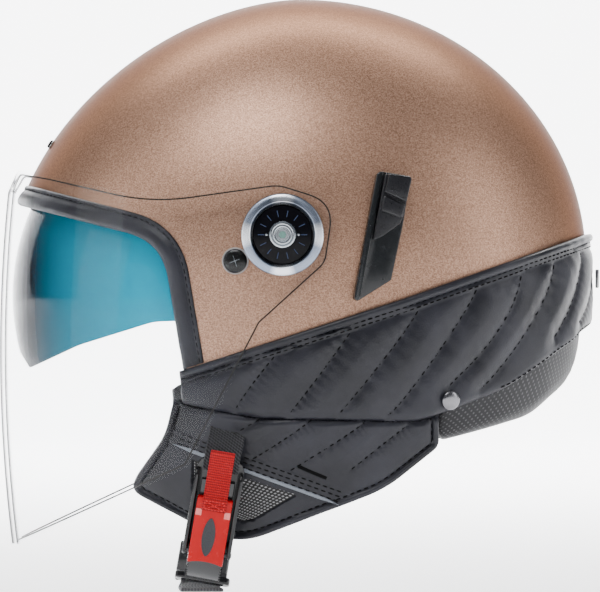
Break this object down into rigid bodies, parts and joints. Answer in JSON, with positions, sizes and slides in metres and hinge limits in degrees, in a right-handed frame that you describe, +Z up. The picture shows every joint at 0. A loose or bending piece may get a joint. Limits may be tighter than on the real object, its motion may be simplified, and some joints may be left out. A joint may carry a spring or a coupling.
{
  "type": "open face motorcycle helmet",
  "caption": "Open face helmet with a hinged clear visor, a drop-down tinted sun visor worked by a side slider, a quilted leather neck apron and a quick-release chin strap buckle.",
  "frame": {"origin": "centre of the head cavity, between the two pivots' height and the ear pockets", "axes": "+Z up, -X the way the wearer faces, -Y the wearer's left"},
  "size_m": [0.2874, 0.2562, 0.283],
  "materials": {
    "shell_paint": "satin",
    "black_leather": "satin",
    "liner_foam": "matte",
    "pad_fabric": "matte",
    "perforated_fabric": "matte",
    "mesh_fabric": "matte",
    "grey_piping": "satin",
    "clear_sheet": "gloss",
    "sun_lens": "gloss",
    "black_plastic": "satin",
    "steel": "satin",
    "aluminium_ring": "satin",
    "gloss_black": "gloss",
    "bright_bolt": "satin",
    "red_plastic": "gloss",
    "red_webbing": "matte",
    "black_webbing": "matte"
  },
  "bodies": {
    "helmet": {"outer_shell": "shell_paint", "edge_trim": "black_leather", "neck_apron": "black_leather", "ear_flap_left": "black_leather", "ear_flap_right": "black_leather", "impact_liner": "liner_foam", "crown_pad": "pad_fabric", "cheek_pad_left": "pad_fabric", "cheek_pad_right": "pad_fabric", "neck_roll": "perforated_fabric", "mesh_panel_left": "mesh_fabric", "mesh_panel_right": "mesh_fabric", "piping_left": "grey_piping", "piping_right": "grey_piping", "rear_tag": "grey_piping", "pivot_base_left": "black_plastic", "sun_hinge_plate_left": "black_plastic", "spring_washer_left": "steel", "pivot_bush_left": "steel", "pivot_nut_left": "steel", "sun_hinge_pin_left": "steel", "strap_anchor_left": "steel", "snap_stud_left": "steel", "pivot_ring_left": "aluminium_ring", "pivot_cap_left": "gloss_black", "side_screw_left": "gloss_black", "pivot_bolt_left": "bright_bolt", "pivot_base_right": "black_plastic", "sun_hinge_plate_right": "black_plastic", "spring_washer_right": "steel", "pivot_bush_right": "steel", "pivot_nut_right": "steel", "sun_hinge_pin_right": "steel", "strap_anchor_right": "steel", "snap_stud_right": "steel", "pivot_ring_right": "aluminium_ring", "pivot_cap_right": "gloss_black", "side_screw_right": "gloss_black", "pivot_bolt_right": "bright_bolt", "slider_base": "black_plastic", "drive_cable": "black_plastic", "brow_badge": "black_plastic", "chin_strap_left": "black_webbing", "chin_strap_right": "black_webbing", "buckle_body": "gloss_black", "lever_pin": "steel", "lever_spring": "steel"},
    "visor": {"visor": "clear_sheet"},
    "sun_visor": {"sun_visor": "sun_lens"},
    "slider": {"slider_knob": "black_plastic", "slider_shoe": "black_plastic"},
    "lever": {"buckle_lever": "red_plastic", "pull_tab": "red_webbing"},
    "ratchet": {"ratchet_strap": "gloss_black", "ladder_lock": "gloss_black", "chin_strap_lower": "black_webbing", "strap_pad": "pad_fabric"}
  },
  "joints": [
    {"name": "visor_hinge", "type": "hinge", "parent": "helmet", "child": "visor", "pos_m": [-0.0082, 0, 0.0125], "axis": [0, 1, 0], "range_deg": [0, 65]},
    {"name": "sun_visor_hinge", "type": "hinge", "parent": "helmet", "child": "sun_visor", "pos_m": [-0.0336, 0, -0.0163], "axis": [0, 1, 0], "range_deg": [0, 48]},
    {"name": "slider_slide", "type": "slide", "parent": "helmet", "child": "slider", "axis": [-0.1787, -0.1175, -0.9769], "range_m": [0, 0.022]},
    {"name": "lever_hinge", "type": "hinge", "parent": "helmet", "child": "lever", "pos_m": [-0.04408, -0.10277, -0.13707], "axis": [0.986, 0, -0.1666], "range_deg": [0, 30], "stiffness_Nm_per_rad": 0.05, "springref_deg": -17.19},
    {"name": "ratchet_slide", "type": "slide", "parent": "helmet", "child": "ratchet", "axis": [-0.159, 0.2992, -0.9409], "range_m": [0, 0.015]}
  ],
  "couplings": [
    {"joint": "slider_slide", "follows": "sun_visor_hinge", "m_per_rad": 0.02625}
  ]
}
